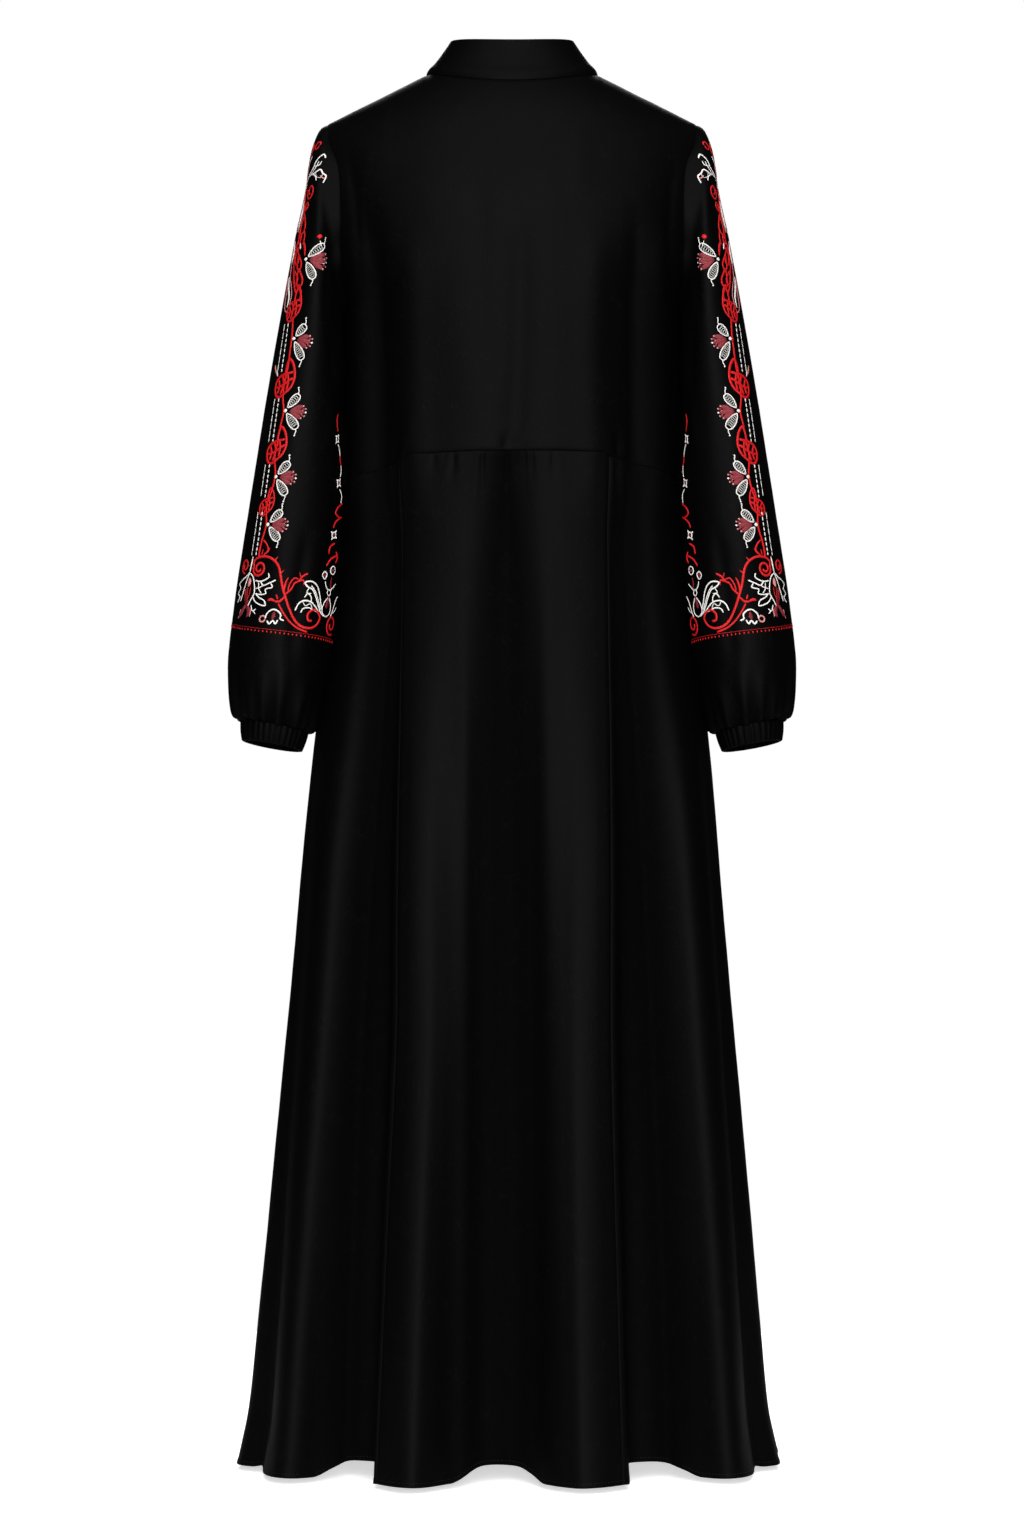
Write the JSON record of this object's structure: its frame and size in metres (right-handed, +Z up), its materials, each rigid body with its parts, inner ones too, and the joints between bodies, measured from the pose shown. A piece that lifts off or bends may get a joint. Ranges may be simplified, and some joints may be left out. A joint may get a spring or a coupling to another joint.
{
  "type": "embroidered abaya",
  "caption": "Long worn-form black abaya with a stand collar, waist seam, flared panelled skirt and embroidered sleeves gathered into elastic cuffs.",
  "frame": {"origin": "centre of the neck base, where the shoulders of the wearer hold the garment up", "axes": "+Z up, the front of the garment faces -Y, the wearer's left is +X"},
  "size_m": [0.5692, 0.3988, 1.4153],
  "materials": {
    "black_crepe": "matt black polyester crepe with a fine crinkled grain",
    "elastic_cuff": "the same crepe gathered over elastic into ribs",
    "red_thread": "glossy red rayon embroidery thread",
    "rose_thread": "dusty rose and pink embroidery thread",
    "white_thread": "off-white rayon embroidery thread",
    "black_thread": "black sewing thread"
  },
  "bodies": {
    "root": {"collar": "black_crepe", "back_bodice": "black_crepe", "front_bodice_left": "black_crepe", "front_bodice_right": "black_crepe", "front_placket": "black_crepe", "back_skirt_centre": "black_crepe", "back_skirt_left": "black_crepe", "back_skirt_right": "black_crepe", "front_skirt": "black_crepe", "sleeve_left": "black_crepe", "sleeve_right": "black_crepe", "cuff_left": "elastic_cuff", "cuff_right": "elastic_cuff"}
  },
  "joints": []
}
